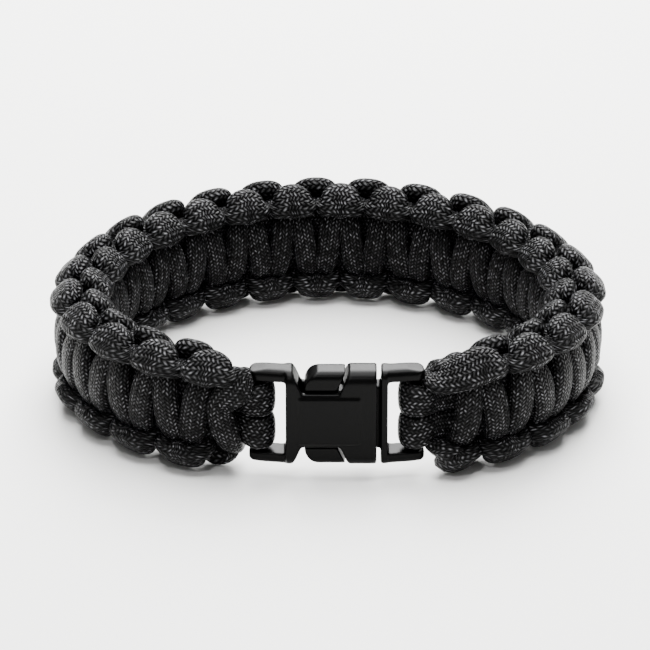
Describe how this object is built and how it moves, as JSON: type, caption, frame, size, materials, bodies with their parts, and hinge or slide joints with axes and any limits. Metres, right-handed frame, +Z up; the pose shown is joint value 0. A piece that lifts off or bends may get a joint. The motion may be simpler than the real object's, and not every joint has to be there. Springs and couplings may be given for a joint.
{
  "type": "paracord bracelet",
  "caption": "Closed bracelet of flattened black braided cord knotted round a core, joined by a side-release buckle, lying on its side.",
  "frame": {"origin": "middle of the wrist hollow, on the surface that the bracelet lies on", "axes": "+Z up, along the wrist; the buckle is at the front, -Y; +X to the right of someone who faces the buckle, along the longest extent"},
  "size_m": [0.098, 0.0818, 0.0234],
  "materials": {
    "buckle_plastic": "moulded black acetal with a satin gloss",
    "cord": "black nylon sheath in a fine herringbone braid"
  },
  "bodies": {
    "root": {"buckle_socket": "buckle_plastic", "buckle_plug": "buckle_plastic", "core_cord_upper": "cord", "core_cord_lower": "cord", "outer_weave_cord": "cord", "inner_weave_cord": "cord"}
  },
  "joints": []
}
